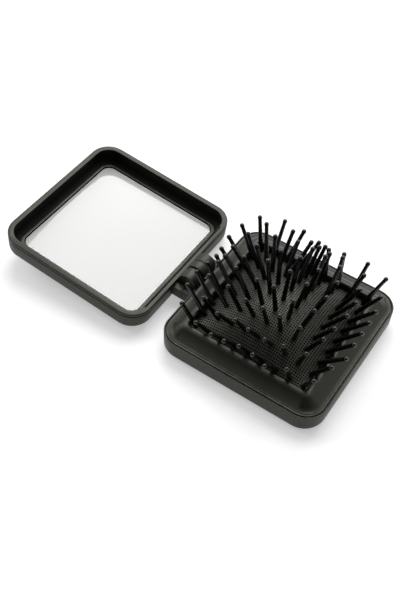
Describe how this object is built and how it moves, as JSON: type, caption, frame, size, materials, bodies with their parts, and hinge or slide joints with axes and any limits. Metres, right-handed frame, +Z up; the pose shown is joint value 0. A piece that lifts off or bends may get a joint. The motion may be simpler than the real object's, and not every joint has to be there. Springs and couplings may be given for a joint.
{
  "type": "folding travel hairbrush",
  "caption": "Square folding pocket hairbrush with a mirror in its lid, a domed rubber cushion of ball-tipped pins and a push button that pops the cushion up.",
  "frame": {"origin": "under the middle of the opened part, on the plane that the back of the base lies on", "axes": "+X from the lid towards the base, along both halves; +Y along the hinge; +Z up out of the base, the way the pins point"},
  "size_m": [0.1485, 0.07, 0.0369],
  "materials": {
    "case_plastic": "soft-touch black",
    "frame_plastic": "satin black",
    "cushion_rubber": "matte black with fine dimples",
    "pin_plastic": "gloss black",
    "button_plastic": "satin black",
    "mirror_glass": "silvered",
    "foam_tape": "matte white",
    "pin_steel": "plain"
  },
  "bodies": {
    "base": {"base_shell": "case_plastic", "brush_frame": "frame_plastic", "cushion": "cushion_rubber", "pin_row_1": "pin_plastic", "pin_row_2": "pin_plastic", "pin_row_3": "pin_plastic", "pin_row_4": "pin_plastic", "pin_row_5": "pin_plastic", "pin_row_6": "pin_plastic", "pin_row_7": "pin_plastic", "pin_row_8": "pin_plastic", "pin_row_9": "pin_plastic"},
    "lid": {"lid_shell": "case_plastic", "mirror_frame": "frame_plastic", "mirror": "mirror_glass", "mirror_tape": "foam_tape", "hinge_pin": "pin_steel"},
    "button": {"push_button": "button_plastic"}
  },
  "joints": [
    {"name": "lid_hinge", "type": "hinge", "parent": "base", "child": "lid", "pos_m": [0.00015, 0, 0.0096], "axis": [0, 1, 0], "range_deg": [0, 174.36], "deforming": ["cushion", "pin_row_1", "pin_row_2", "pin_row_3", "pin_row_4", "pin_row_5", "pin_row_6", "pin_row_7", "pin_row_8", "pin_row_9"]},
    {"name": "button_slide", "type": "slide", "parent": "base", "child": "button", "axis": [0, 0, -1], "range_m": [0, 0.0146]}
  ],
  "couplings": [
    {"joint": "button_slide", "follows": "lid_hinge", "m_per_rad": 0.0047976}
  ]
}
